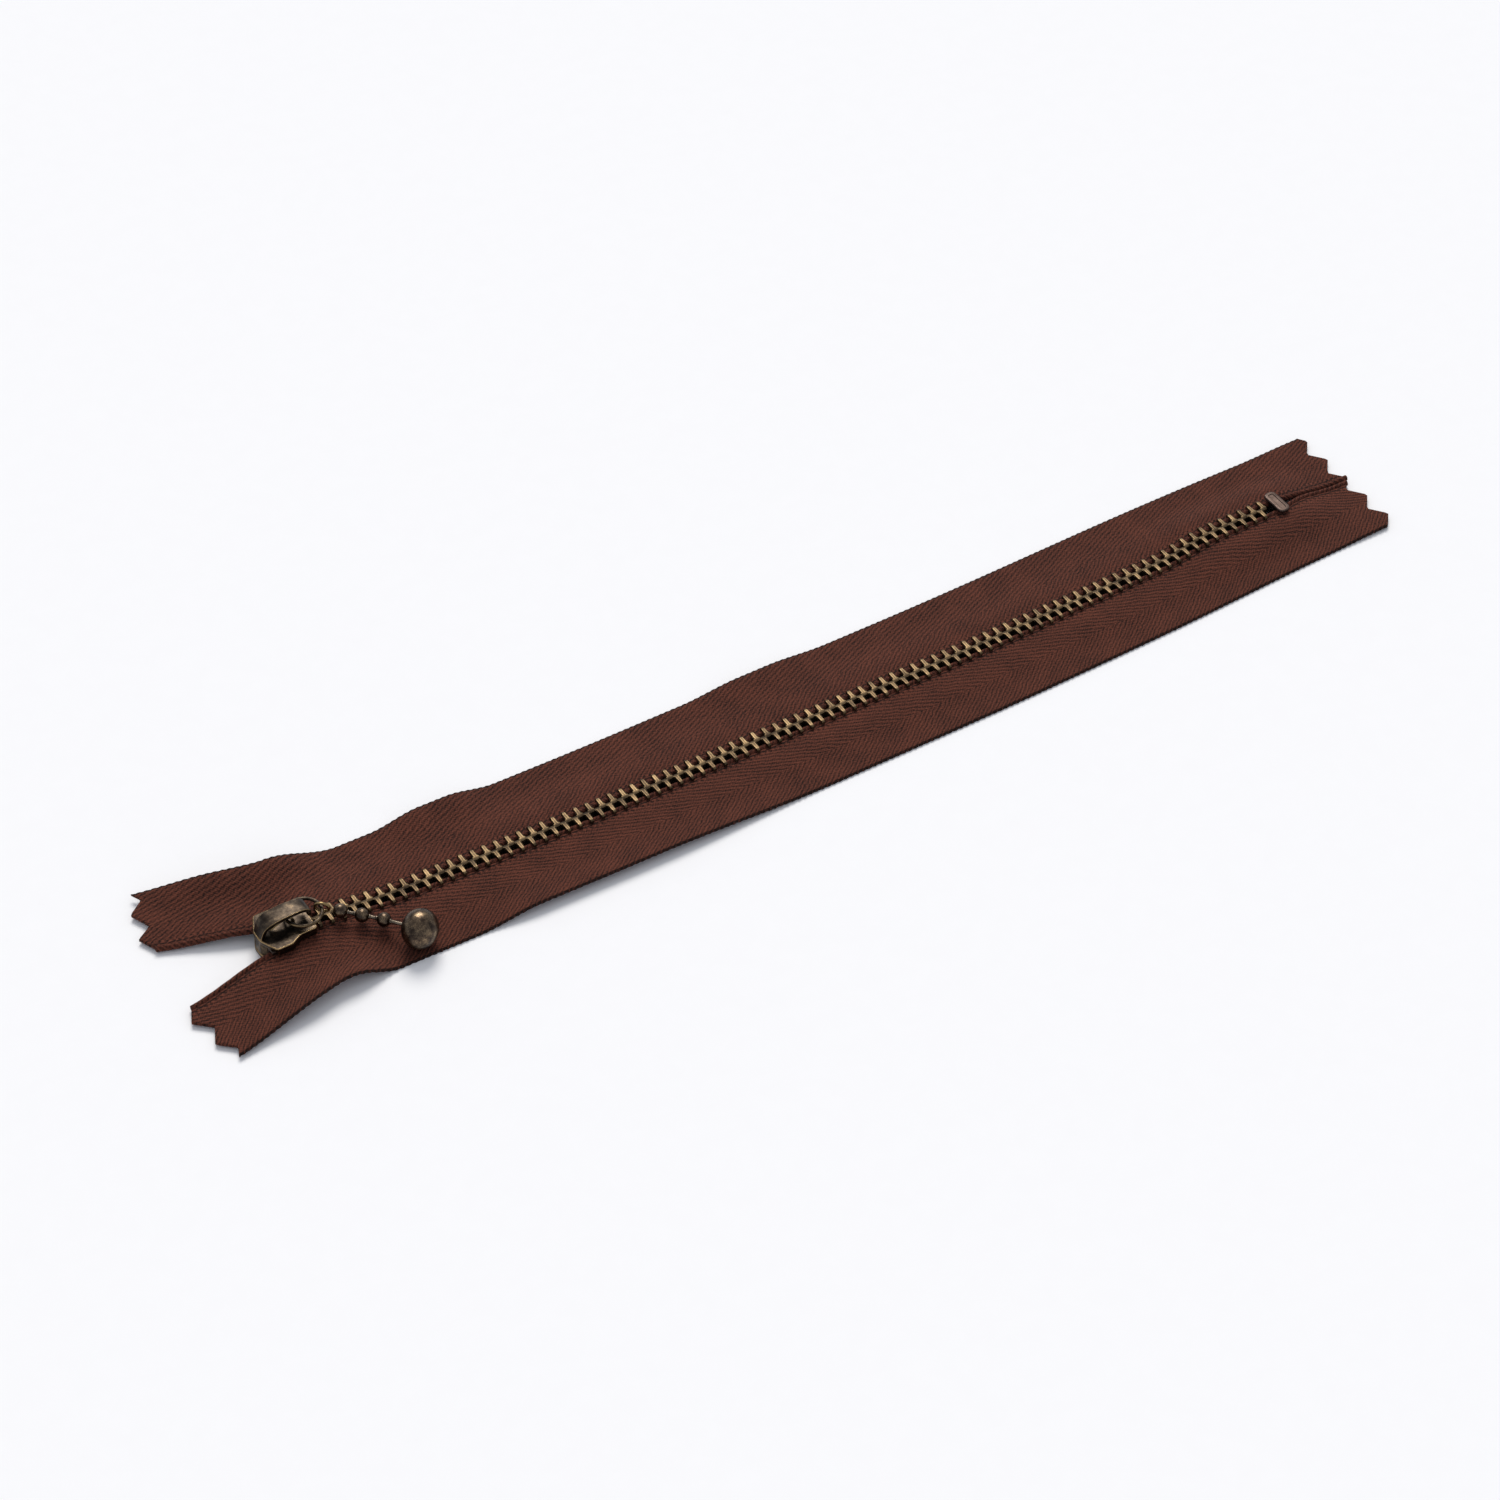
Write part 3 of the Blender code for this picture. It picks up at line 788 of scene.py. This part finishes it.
@dataclass
class Stringer:
    """One tape with the cord along its edge, its teeth and its top stop."""

    run: TapeRun
    axes: ZipperAxes
    finishes: Finishes
    rows: int = 1060
    columns: int = 22
    end_rows: int = 12
    selvedge_pitch: float = 1.15
    selvedge_bump: float = 0.07
    cord_rows: int = 330
    cord_corners: int = 10
    cord_across: float = 1.45
    cord_half: float = 0.5
    cord_half_height: float = 0.6
    cord_girth: float = 2.2
    cord_rib_pitch: float = 0.9
    cord_rib: float = 0.03
    cord_clearance: float = 0.02
    pitch: float = 2.13
    first_tooth_x: float = 198.25
    teeth: int = 92
    tone_spread: float = 0.5
    top_stop_half: float = 0.9
    top_stop_inner: float = 0.42
    bend_from_x: float = 200.5
    bend_to_x: float = 186.0
    tooth_profile: tuple[Point, ...] = (
        (-0.27, 0.84, 0.53),
        (0.2, 0.93, 0.53),
        (0.34, 0.98, 0.22),
        (1.7, 1.0, 0.2),
        (1.84, 1.0, 0.28),
        (2.2, 0.88, 0.28),
        (2.2, 0.36, 0.28),
        (1.84, 0.32, 0.28),
        (1.7, 0.45, 0.2),
        (1.15, 0.62, 0.2),
        (0.92, 0.3, 0.2),
    )
    tooth_round: float = 0.07
    tooth_outside: float = 0.7

    @property
    def body(self) -> str:
        """The body that the opening part rides on."""
        return f"{self.run.side.word}_stringer"

    def bend(self, piece: Object) -> None:
        """Bake a piece's place into its mesh; the ends of a bend beside the bottom stop are found
        but not used.
        """
        y = self.run.side.value * self.cord_across
        start = self.axes.metres((self.bend_from_x, y, 0.0))
        end = self.axes.metres((self.bend_to_x, y, 0.0))
        self.body
        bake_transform(piece)

    def row_x(self, number: int, across: float) -> float:
        """Where a row of the cloth's grid crosses this place across the tape."""
        run = self.run
        left, right = run.left_edge(across), run.right_edge(across)
        first = run.lie.left_tip_x + 3 * run.pink_depth
        last = run.right_tip_x - 2 * run.pink_depth
        if number <= self.end_rows:
            return left + (first - left) * number / self.end_rows
        if number >= self.rows - self.end_rows:
            return right + (last - right) * (self.rows - number) / self.end_rows
        return first + (last - first) * (number - self.end_rows) / (self.rows - 2 * self.end_rows)

    def cloth(self) -> Object:
        """The woven tape, pinked at both ends and bumpy along its selvedge."""
        run = self.run
        flat: list[Pair] = []

        def place(along_share: float, across_share: float) -> Vector:
            across = run.inner + (run.outer - run.inner) * across_share
            x = self.row_x(round(along_share * self.rows), across)
            flat.append((x, run.side.value * across))
            if across_share > 0.99:
                across += self.selvedge_bump * math.sin(2 * math.pi * x / self.selvedge_pitch)
            return run.laid(x, across)

        bm = wrap_grid(self.rows, self.columns, place)
        write_cloth_uv(bm, flat)
        if run.side is Side.NEAR:
            for face in bm.faces:
                face.normal_flip()
        piece = self.axes.settle(bm, f"{run.side.word}_tape_cloth", self.finishes.twill)
        walls = piece.modifiers.new("thickness", "SOLIDIFY")
        walls.thickness = run.cloth_thick * MM
        walls.offset = 0.0
        walls.use_even_offset = False
        return piece

    def edge_cord(self) -> Object:
        """The round cord woven along the tape's inner edge."""
        run = self.run
        flat: list[Pair] = []
        ends = run.left_edge(self.cord_across), run.right_edge(self.cord_across)

        def place(along_share: float, round_share: float) -> Vector:
            x = ends[0] + (ends[1] - ends[0]) * along_share
            flat.append((x, self.cord_girth * round_share))
            turn = 2 * math.pi * round_share
            ribbed = 1.0 + self.cord_rib * math.sin(2 * math.pi * x / self.cord_rib_pitch)
            point = run.laid(x, self.cord_across + self.cord_half * ribbed * math.cos(turn))
            resting = self.cord_half_height + self.cord_clearance
            middle = max(run.height(x, self.cord_across), resting)
            point.z = middle + self.cord_half_height * ribbed * math.sin(turn)
            return point

        bm = wrap_grid(self.cord_rows, self.cord_corners, place)
        write_cloth_uv(bm, flat)
        bmesh.ops.remove_doubles(bm, verts=bm.verts, dist=SAME_PLACE_MM)
        ends_open = [e for e in bm.edges if e.is_boundary]
        bmesh.ops.holes_fill(bm, edges=ends_open, sides=self.cord_corners + 1)
        bmesh.ops.recalc_face_normals(bm, faces=bm.faces)
        return self.axes.settle(bm, f"{run.side.word}_edge_cord", self.finishes.twill)

    def tooth_x(self, number: int) -> float:
        """The middle of a tooth, counted from the bottom stop."""
        offset = 0.0 if self.run.side is Side.FAR else self.pitch / 2
        return self.first_tooth_x - offset - self.pitch * number

    def one_tooth(self, least_half: float = 0.0) -> BMesh:
        """A tooth about x = 0: a head on the middle line and two slim legs pinched round the cord.

        Args:
            least_half: The least half length along the zipper, for a stop as long as its head.

        Returns:
            The tooth, on the far side, about z = 0.
        """
        upper = list(self.tooth_profile)
        outline = upper + [(y, -z, half) for y, z, half in reversed(upper)]
        bm = bmesh.new()
        first = [bm.verts.new((-max(half, least_half), y, z)) for y, z, half in outline]
        grown = bmesh.ops.extrude_face_region(bm, geom=[bm.faces.new(first)])["geom"]
        for vert in grown:
            if isinstance(vert, BMVert):
                vert.co.x = -vert.co.x
        bmesh.ops.recalc_face_normals(bm, faces=bm.faces)
        found = edges_at(bm, 60)
        outside = [e for e in found if min(abs(v.co.z) for v in e.verts) > self.tooth_outside]
        soften(bm, outside, self.tooth_round, 1)
        return bm

    def place_tooth(self, tooth: BMesh, number: int) -> None:
        """Move a tooth to its place on this tape."""
        x = self.tooth_x(number)
        side = self.run.side.value
        if side < 0:
            bmesh.ops.scale(tooth, vec=(1.0, -1.0, 1.0), verts=tooth.verts)
            bmesh.ops.reverse_faces(tooth, faces=tooth.faces)
        place = (x, side * self.run.parting(x) - self.run.aside(x), self.run.chain_height(x))
        shift(tooth, place)

    def tooth_row(self) -> Object:
        """Every tooth of this tape."""
        row = bmesh.new()
        golden_turn = 0.618  # spreads the tones with no repeat that shows
        for number in range(self.teeth):
            tooth = self.one_tooth()
            tone = tooth.verts.layers.float.new(TONE)
            shade = self.tone_spread * ((number * golden_turn) % 1.0 - 0.5)
            for vert in tooth.verts:
                vert[tone] = shade
            self.place_tooth(tooth, number)
            merge(row, tooth)
        return self.axes.settle(row, f"{self.run.side.word}_tooth_row", self.finishes.tooth)

    def top_stop(self) -> Object:
        """The staple at the top of the chain, hidden in the slider's mouth."""
        stop = self.one_tooth(self.top_stop_half)
        for vert in stop.verts:
            vert.co.y = max(vert.co.y, self.top_stop_inner)
        bmesh.ops.remove_doubles(stop, verts=stop.verts, dist=SAME_PLACE_MM)
        self.place_tooth(stop, self.teeth)
        return self.axes.settle(stop, f"{self.run.side.word}_stop_staple", self.finishes.stop)

    def build(self) -> list[Object]:
        """Build the stringer and hide the imported parts that its pieces take the place of.

        Returns:
            Its pieces.
        """
        word, run = self.run.side.word, self.run
        cloth, cord, row = self.cloth(), self.edge_cord(), self.tooth_row()
        for piece, nodes, slot in (
            (cloth, (f"{word}_tape", f"{word}_tape_end"), "tape_fabric"),
            (cord, (f"{word}_cord_end",), "tape_fabric"),
            (row, (f"{word}_teeth",), "tooth_brass"),
        ):
            self.bend(piece)
            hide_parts(*nodes)
        stop = stand_in(self.top_stop(), f"{word}_top_stop", self.body)
        return [cloth, cord, row, stop]


@dataclass
class BottomStop:
    """The bar clamped over both cords at the closed end: two plates and the web between them."""

    axes: ZipperAxes
    finishes: Finishes
    low_x: float = 199.95
    high_x: float = 202.25
    half_width: float = 2.7
    web_half_width: float = 0.7
    web_overlap: float = 0.1
    middle_height: float = 2.05
    inner_height: float = 0.85
    plate_thick: float = 0.5
    corner_round: float = 0.85
    rim_round: float = 0.22
    groove_margin: float = 0.38
    groove_slope: float = 0.14
    groove_depth: float = 0.11

    def outline(self, half: float) -> list[Pair]:
        """A rectangle as long as the stop and this wide to each side."""
        return mirrored([(self.low_x, half), (self.high_x, half)])

    def clamp_plate(self, upper: bool) -> BMesh:
        """One plate, with rounded ends and a shallow groove pressed in its outside."""
        outline = self.outline(self.half_width)
        bm = plate(outline, self.inner_height, self.inner_height + self.plate_thick)
        soften(bm, upright_edges(bm, 30), self.corner_round, 5)
        mark_worn(bm, bm.faces, 0.0)
        top = [f for f in bm.faces if f.normal.z > 0.9]
        soften(bm, {e for f in top for e in f.edges}, self.rim_round, 3)
        top = [max((f for f in bm.faces if f.normal.z > 0.99), key=lambda f: f.calc_area())]
        bmesh.ops.inset_region(bm, faces=top, thickness=self.groove_margin, depth=0.0)
        bmesh.ops.inset_region(bm, faces=top, thickness=self.groove_slope, depth=-self.groove_depth)
        if not upper:
            bmesh.ops.scale(bm, vec=(1.0, 1.0, -1.0), verts=bm.verts)
            bmesh.ops.reverse_faces(bm, faces=bm.faces)
        return bm

    def build(self) -> Object:
        """Build the stop and return its one piece."""
        reach = self.inner_height + self.web_overlap
        bm = plate(self.outline(self.web_half_width), -reach, reach)
        merge(bm, self.clamp_plate(True))
        merge(bm, self.clamp_plate(False))
        shift(bm, (0.0, 0.0, self.middle_height))
        piece = self.axes.settle(bm, "bottom_stop_bar", self.finishes.stop)
        return stand_in(piece, "bottom_stop", "closed_end")


@dataclass
class Slider:
    """The cast slider with its two wings, the neck, the crown over it and the lock's leaf."""

    axes: ZipperAxes
    finishes: Finishes
    front_x: float = -0.6
    shoulder_front: float = 0.95
    shoulder_back: float = 3.7
    throat_x: float = 5.7
    back_x: float = 8.7
    nose_half: float = 1.1
    shoulder_half: float = 4.4
    throat_half: float = 3.25
    wing_thick: float = 0.8
    top: float = 4.1
    corner_round: float = 0.4
    rim_round: float = 0.16
    flange: float = 0.55
    flange_inset: float = 0.04
    flange_front: float = 1.1
    flange_back: float = 8.58
    flange_sunk: float = 0.3
    flange_round: float = 0.12
    neck_half: tuple[Pair, ...] = (
        (-0.5, 0.9),
        (0.25, 1.95),
        (0.9, 1.75),
        (1.7, 0.8),
        (3.4, 0.06),
    )
    neck_sunk: float = 0.2
    neck_round: float = 0.3
    slot_low: float = 1.55
    slot_high: float = 2.55
    crown_half: float = 1.55
    crown_thick: float = 0.62
    crown_corners: tuple[Pair, ...] = (
        (-0.15, 3.7),
        (0.1, 5.0),
        (0.65, 6.15),
        (2.0, 6.7),
        (4.6, 7.0),
        (7.2, 6.85),
        (8.4, 6.35),
        (8.3, 5.3),
    )
    crown_tail_narrowing: float = 0.1
    crown_root_narrowing: float = 0.12
    leaf_corners: tuple[Pair, ...] = ((1.7, 4.65), (3.6, 5.6), (5.9, 5.6), (5.9, 3.15))
    leaf_half: float = 0.6
    leaf_thick: float = 0.22
    leaf_round: float = 0.05

    def wing(self, low: float, high: float) -> BMesh:
        """A wing plate with rounded corners and rubbed edges."""
        outline = mirrored(
            [
                (self.front_x, self.nose_half),
                (self.shoulder_front, self.shoulder_half),
                (self.shoulder_back, self.shoulder_half),
                (self.throat_x, self.throat_half),
                (self.back_x, self.throat_half),
            ]
        )
        bm = plate(outline, low, high)
        soften(bm, upright_edges(bm, 20), self.corner_round, 4)
        mark_worn(bm, bm.faces, 0.0)
        soften(bm, edges_at(bm, 60), self.rim_round, 3)
        return bm

    def flange_bar(self, side: Side, low: float, high: float) -> BMesh:
        """The wall along one edge of a wing, which guides the teeth."""
        shoulder = self.shoulder_half - self.flange_inset
        throat = self.throat_half - self.flange_inset
        outer = [
            (self.flange_front, shoulder),
            (self.shoulder_back, shoulder),
            (self.throat_x, throat),
            (self.flange_back, throat),
        ]
        outline = outer + [(x, y - self.flange) for x, y in reversed(outer)]
        bm = plate([(x, side.value * y) for x, y in outline], low, high)
        soften(bm, edges_at(bm, 60), self.flange_round, 2)
        return bm

    def neck(self) -> BMesh:
        """The wedge between the wings that parts the teeth, with its rounded nose."""
        sunk = self.wing_thick - self.neck_sunk
        bm = plate(mirrored(self.neck_half), sunk, self.top - sunk)
        soften(bm, upright_edges(bm, 30), self.neck_round, 4)
        mark_worn(bm, bm.faces, 0.15)
        return bm

    def body(self) -> Object:
        """Both wings with their walls and the neck."""
        bm = self.wing(self.top - self.wing_thick, self.top)
        merge(bm, self.wing(0.0, self.wing_thick))
        for side in Side:
            merge(bm, self.flange_bar(side, self.slot_high, self.top - self.flange_sunk))
            merge(bm, self.flange_bar(side, self.flange_sunk, self.slot_low))
        merge(bm, self.neck())
        return self.axes.settle(bm, "slider_casting", self.finishes.slider)

    def crown(self) -> Object:
        """The strip that rises from the nose, arches over the wing and turns down in the ring."""
        path = rounded_path(self.crown_corners, 2)
        bm = upright_strip(strip_outline(path, self.crown_thick), self.crown_half)
        for vert in bm.verts:
            tail = self.crown_tail_narrowing * smooth(4.5, 8.0, vert.co.x)
            root = self.crown_root_narrowing * smooth(1.2, -0.4, vert.co.x)
            vert.co.y *= 1.0 - tail - root
        soften(bm, edges_at(bm, 50), self.rim_round, 3)
        return self.axes.settle(bm, "crown_strip", self.finishes.slider)

    def lock(self) -> Object:
        """The leaf under the crown, with its claw through the wing."""
        path = rounded_path(self.leaf_corners, 2)
        bm = upright_strip(strip_outline(path, self.leaf_thick), self.leaf_half)
        soften(bm, edges_at(bm, 50), self.leaf_round, 1)
        return self.axes.settle(bm, "lock_leaf", self.finishes.wire)

    def build(self) -> list[Object]:
        """Build the slider and return its pieces."""
        return [
            stand_in(self.body(), "slider_body", "slider"),
            stand_in(self.crown(), "slider_crown", "slider"),
            stand_in(self.lock(), "lock_spring", "lock"),
        ]


@dataclass
class Pull:
    """The ring, the wire eye on it, three beads and the ball at the end."""

    axes: ZipperAxes
    finishes: Finishes
    ring_centre: Point = (7.8, 0.0, 5.05)
    ring_radius: float = 3.05
    ring_wire: float = 0.3
    eye_at: Point = (10.81, -0.48, 5.05)
    eye_half_long: float = 1.17
    eye_half_tall: float = 0.82
    eye_wire: float = 0.24
    eye_ahead: float = 0.15
    bead_radius: float = 1.2
    ball_radius: float = 3.35
    ball_half_long: float = 2.95
    hole_from: float = 0.955
    rim_share: float = 0.03
    seam_share: float = 0.06
    link_sunk: float = 0.04
    link_radius: float = 0.42
    waist_radius: float = 0.32
    link_lip: float = 0.14
    link_taper: float = 0.12
    beads: tuple[Point, ...] = (
        (13.25, -2.25, 4.35),
        (16.0, -4.3, 3.65),
        (18.7, -6.65, 3.2),
    )
    ball: Point = (22.3, -12.05, 3.9)

    def hoop(self, radius: float, wire: float, steps: int) -> BMesh:
        """A ring of round wire about +Z."""
        bm = bmesh.new()
        made = bmesh.ops.create_circle(bm, segments=14, radius=wire, cap_ends=False)
        upright = Matrix.Rotation(math.radians(90), 3, "X")
        bmesh.ops.rotate(bm, matrix=upright, verts=made["verts"])
        bmesh.ops.translate(bm, vec=(radius, 0.0, 0.0), verts=made["verts"])
        bmesh.ops.spin(
            bm,
            geom=bm.edges[:],
            cent=(0.0, 0.0, 0.0),
            axis=(0.0, 0.0, 1.0),
            angle=2 * math.pi,
            steps=steps,
            use_merge=True,
        )
        bmesh.ops.remove_doubles(bm, verts=bm.verts, dist=SAME_PLACE_MM)
        bmesh.ops.recalc_face_normals(bm, faces=bm.faces)
        return bm

    def ring(self) -> Object:
        """The pull ring, rubbed bright round its outside."""
        bm = self.hoop(self.ring_radius, self.ring_wire, 72)
        reach = self.ring_radius + 0.4 * self.ring_wire
        outside = [f for f in bm.faces if f.calc_center_median().xy.length > reach]
        mark_worn(bm, outside, 0.45)
        shift(bm, self.ring_centre)
        return self.axes.settle(bm, "ring_wire", self.finishes.slider)

    def eye(self) -> Object:
        """The oval wire eye that hangs on the ring."""
        start, first = Vector(self.eye_at), Vector(self.beads[0])
        along = (first - start).normalized()
        upright = (Vector((0.0, 0.0, 1.0)) - along * along.z).normalized()
        bm = self.hoop(1.0, self.eye_wire, 40)
        for vert in bm.verts:
            reach = vert.co.xy.length
            long, tall = self.eye_half_long + reach - 1.0, self.eye_half_tall + reach - 1.0
            flat = (along * (long * vert.co.x) + upright * (tall * vert.co.y)) / reach
            vert.co = start + along * self.eye_ahead + flat + along.cross(upright) * vert.co.z
        bmesh.ops.recalc_face_normals(bm, faces=bm.faces)
        mark_worn(bm, bm.faces, 0.35)
        return self.axes.settle(bm, "eye_wire", self.finishes.wire)

    def bead(
        self,
        name: str,
        centre: Vector,
        along: Vector,
        radius: float,
        half_long: float,
        both_ends: bool,
    ) -> Object:
        """A hollow ball pressed from sheet, with a small turned-in hole where a link goes in.

        Args:
            name: The piece's name.
            centre: Its middle.
            along: The way that the chain runs through it.
            radius: Its radius across the chain.
            half_long: Half its length along the chain.
            both_ends: Whether the chain goes on out of its far end.

        Returns:
            The bead.
        """
        bm = bmesh.new()
        bmesh.ops.create_uvsphere(bm, u_segments=40, v_segments=26, radius=radius)
        hole = radius * self.hole_from
        poles = [f for f in bm.faces if f.calc_center_median().z < -hole]
        if both_ends:
            poles += [f for f in bm.faces if f.calc_center_median().z > hole]
        rim = radius * self.rim_share
        rims = bmesh.ops.inset_region(bm, faces=poles, thickness=rim, depth=0.0)["faces"]
        mark_worn(bm, rims, 0.8)
        for vert in {v for f in poles for v in f.verts}:
            vert.co.z *= self.hole_from
        narrow_band = [f for f in bm.faces if abs(f.calc_center_median().z) < radius * self.seam_share]
        mark_worn(bm, narrow_band, 0.25)
        bmesh.ops.scale(bm, vec=(1.0, 1.0, half_long / radius), verts=bm.verts)
        turn_to(bm, along, centre)
        return self.axes.settle(bm, name, self.finishes.ball)

    def link(
        self, name: str, start: Vector, end: Vector, start_half: float, end_half: float
    ) -> Object:
        """The waisted shank between two beads, which runs from just inside one into the next."""
        along = (end - start).normalized()
        first = start + along * (start_half - self.link_sunk)
        last = end - along * (end_half - self.link_sunk)
        lip, taper = self.link_lip, self.link_taper
        waist = (last - first).length - 2 * (lip + taper)
        narrowing = self.waist_radius / self.link_radius
        bm = bmesh.new()
        bmesh.ops.create_circle(bm, segments=18, radius=self.link_radius, cap_ends=True)
        face = next(iter(bm.faces))
        for rise_by, factor in (
            (lip, 1.0),
            (taper, narrowing),
            (waist, 1.0),
            (taper, 1.0 / narrowing),
            (lip, 1.0),
        ):
            grown = bmesh.ops.extrude_face_region(bm, geom=[face])["geom"]
            face = next(g for g in grown if isinstance(g, BMFace))
            moved = [g for g in grown if isinstance(g, BMVert)]
            bmesh.ops.translate(bm, vec=(0.0, 0.0, rise_by), verts=moved)
            bmesh.ops.scale(bm, vec=(factor, factor, 1.0), verts=moved)
        bmesh.ops.recalc_face_normals(bm, faces=bm.faces)
        mark_worn(bm, bm.faces, 0.4)
        turn_to(bm, along, first)
        return self.axes.settle(bm, name, self.finishes.link)

    def build(self) -> list[Object]:
        """Build the pull and return its pieces."""
        spots = [Vector(place) for place in self.beads]
        ball, start = Vector(self.ball), Vector(self.eye_at)
        line = [start, *spots, ball]
        pieces = [
            stand_in(self.ring(), "pull_ring", "ring"),
            stand_in(self.eye(), "connector_eye", "eye"),
        ]
        riders = ("first_bead", "second_bead", "third_bead")
        small = self.bead_radius
        for number, (spot, rider) in enumerate(zip(spots, riders), start=1):
            along = (line[number + 1] - line[number - 1]).normalized()
            made = self.bead(f"{rider}_shell", spot, along, small, small, True)
            pieces.append(stand_in(made, f"bead_{number}", rider))
        for number, rider in ((2, "second_bead"), (3, "third_bead")):
            made = self.link(f"{rider}_shank", spots[number - 2], spots[number - 1], small, small)
            pieces.append(stand_in(made, f"link_{number}", rider))
        made = self.link("ball_shank", spots[2], ball, small, self.ball_half_long)
        pieces.append(stand_in(made, "ball_link", "ball"))
        along = (ball - spots[2]).normalized()
        made = self.bead("ball_shell", ball, along, self.ball_radius, self.ball_half_long, False)
        pieces.append(stand_in(made, "pull_ball", "ball"))
        return pieces


@dataclass
class Studio:
    """The white board, the soft light and the camera."""

    board_half_m: float = 3.0
    camera_at_m: Point = (-0.27850, -0.43321, 0.48677)
    camera_tilt_deg: float = 46.105
    camera_turn_deg: float = -31.953
    lens_mm: float = 100.99
    sensor_mm: float = 36.0
    nearest_m: float = 0.01
    key_strength: float = 2.12
    key_softness_deg: float = 30.0
    key_colour: str = "#fffaf3"
    key_tilt_deg: Point = (-38.0, 8.0, -20.0)
    sky_overhead: str = "#f7f9ff"
    sky_level: str = "#d6deee"
    sky_strength: float = 0.578
    sky_range: Pair = (-0.1, 0.9)

    def floor(self) -> Object:
        """The board that the zipper lies on."""
        bm = bmesh.new()
        bmesh.ops.create_grid(bm, x_segments=1, y_segments=1, size=self.board_half_m)
        board = finished(bm, "floor", WhiteBoard().material())
        return board

    def light(self) -> None:
        """A large soft key from behind and above, and a pale sky that is brightest overhead."""
        lamp = bpy.data.lights.new("soft_key", "SUN")
        lamp.energy = self.key_strength
        lamp.angle = math.radians(self.key_softness_deg)
        lamp.color = linear(self.key_colour)[:3]
        key = bpy.data.objects.new("soft_key", lamp)
        key.rotation_euler = [math.radians(v) for v in self.key_tilt_deg]
        bpy.context.scene.collection.objects.link(key)
        world = bpy.data.worlds.new("studio")
        world.use_nodes = True
        tree = world.node_tree
        background = tree.nodes["Background"]
        direction = add(tree, "ShaderNodeTexCoord").outputs["Generated"]
        height = add(tree, "ShaderNodeSeparateXYZ", {0: direction}).outputs[2]
        share = rise(tree, height, *self.sky_range)
        sky = blend_colours(tree, share, linear(self.sky_level), linear(self.sky_overhead))
        tree.links.new(sky, background.inputs["Color"])
        background.inputs["Strength"].default_value = self.sky_strength
        bpy.context.scene.world = world

    def camera(self) -> None:
        """The camera, looking down at the zipper from its near left."""
        data = bpy.data.cameras.new("camera")
        data.lens = self.lens_mm
        data.sensor_width = self.sensor_mm
        data.clip_start = self.nearest_m
        camera = bpy.data.objects.new("camera", data)
        camera.location = self.camera_at_m
        tilt, turn = math.radians(self.camera_tilt_deg), math.radians(self.camera_turn_deg)
        camera.rotation_euler = (tilt, 0.0, turn)
        bpy.context.scene.collection.objects.link(camera)
        bpy.context.scene.camera = camera

    def build(self) -> None:
        """Build the stage."""
        self.floor()
        self.light()
        self.camera()
        bpy.context.scene.view_settings.view_transform = "Standard"


def main() -> None:
    """Build every sub-assembly in order and report its pieces."""
    logging.basicConfig(level=logging.INFO, format="%(message)s")
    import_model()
    Studio().build()
    finishes = Finishes.make()
    axes = ZipperAxes.from_frame(Slider.front_x)
    for side in Side:
        for piece in Stringer(TapeRun(side), axes, finishes).build():
            LOG.info("%s: %d faces", piece.name, len(piece.data.polygons))
    pieces = [BottomStop(axes, finishes).build()]
    pieces += Slider(axes, finishes).build()
    pieces += Pull(axes, finishes).build()
    for piece in pieces:
        LOG.info("%s: %d faces", piece.name, len(piece.data.polygons))


if __name__ == "__main__":
    main()
